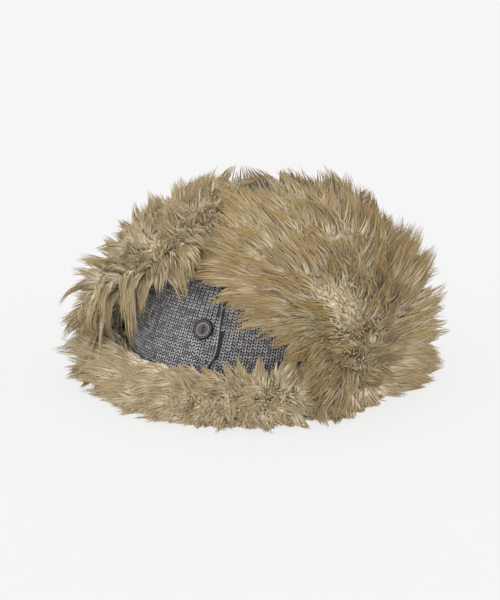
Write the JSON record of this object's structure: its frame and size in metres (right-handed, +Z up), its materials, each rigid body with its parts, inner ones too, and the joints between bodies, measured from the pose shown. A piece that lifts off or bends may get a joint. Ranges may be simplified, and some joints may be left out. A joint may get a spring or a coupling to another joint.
{
  "type": "trooper hat",
  "caption": "Knitted trooper hat resting on its rim, its fur-faced ear and neck flaps turned up and its two chin tabs buttoned across the front of the crown.",
  "frame": {"origin": "on the resting surface, under the middle of the hat's box", "axes": "+Z up through the crown, -Y the way the hat faces, +X the wearer's left"},
  "size_m": [0.3042, 0.315, 0.1709],
  "materials": {
    "knit": "grey melange plain knit",
    "fur": "long beige pile with golden brown tips",
    "button": "satin dark grey",
    "thread": "dark sewing thread"
  },
  "bodies": {
    "root": {"crown": "knit", "chin_tab_left": "knit", "chin_tab_right": "knit", "front_band": "fur", "ear_flap_left_knit": "knit", "ear_flap_left_fur": "fur", "ear_flap_right_knit": "knit", "ear_flap_right_fur": "fur", "neck_flap_knit": "knit", "neck_flap_fur": "fur", "button": "button", "button_thread": "thread"}
  },
  "joints": []
}
